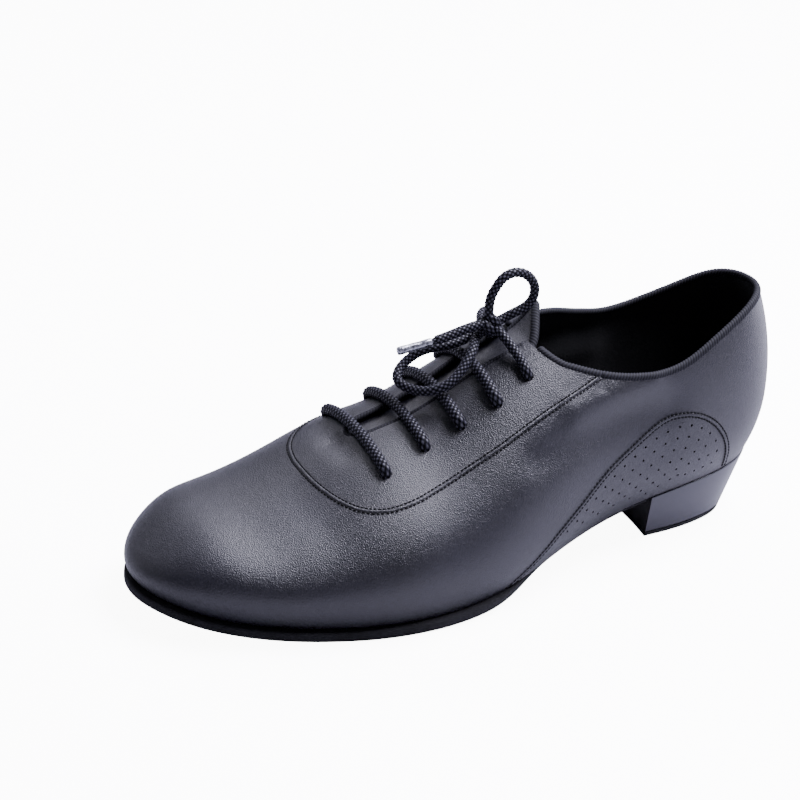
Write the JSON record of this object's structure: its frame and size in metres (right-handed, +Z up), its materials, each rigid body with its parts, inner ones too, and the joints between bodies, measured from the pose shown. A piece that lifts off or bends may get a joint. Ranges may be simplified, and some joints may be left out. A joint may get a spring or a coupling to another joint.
{
  "type": "ballroom dance shoe",
  "caption": "Man's left ballroom dance shoe: laced leather upper on a thin suede sole and a low block heel, with a perforated panel at the arch.",
  "frame": {"origin": "centre of the shoe's outline on the floor, without the bow", "axes": "+X towards the toe, +Y towards the wearer's left (outer side), +Z up"},
  "size_m": [0.28, 0.1008, 0.1166],
  "materials": {
    "upper_leather": "semi-gloss fine grain",
    "tongue_leather": "semi-gloss fine grain",
    "sole_suede": "suede nap",
    "insole_lining": "matt brushed lining",
    "heel_cover": "smooth satin",
    "binding_tape": "woven twill tape",
    "lace_cord": "round braided cord",
    "aglet_plastic": "clear film over cord, silver grey"
  },
  "bodies": {
    "root": {"upper": "upper_leather", "outsole": "sole_suede", "insole": "insole_lining", "heel_block": "heel_cover", "heel_top_lift": "sole_suede", "tongue": "tongue_leather", "collar_binding": "binding_tape", "facing_binding": "binding_tape", "lace_bar_1": "lace_cord", "lace_bar_2": "lace_cord", "lace_bar_3": "lace_cord", "lace_bar_4": "lace_cord", "lace_feed_near": "lace_cord", "lace_feed_far": "lace_cord", "lace_knot": "lace_cord", "lace_loop_upper": "lace_cord", "lace_loop_lower": "lace_cord", "lace_end_near": "lace_cord", "lace_end_far": "lace_cord", "aglet_near": "aglet_plastic", "aglet_far": "aglet_plastic"}
  },
  "joints": []
}
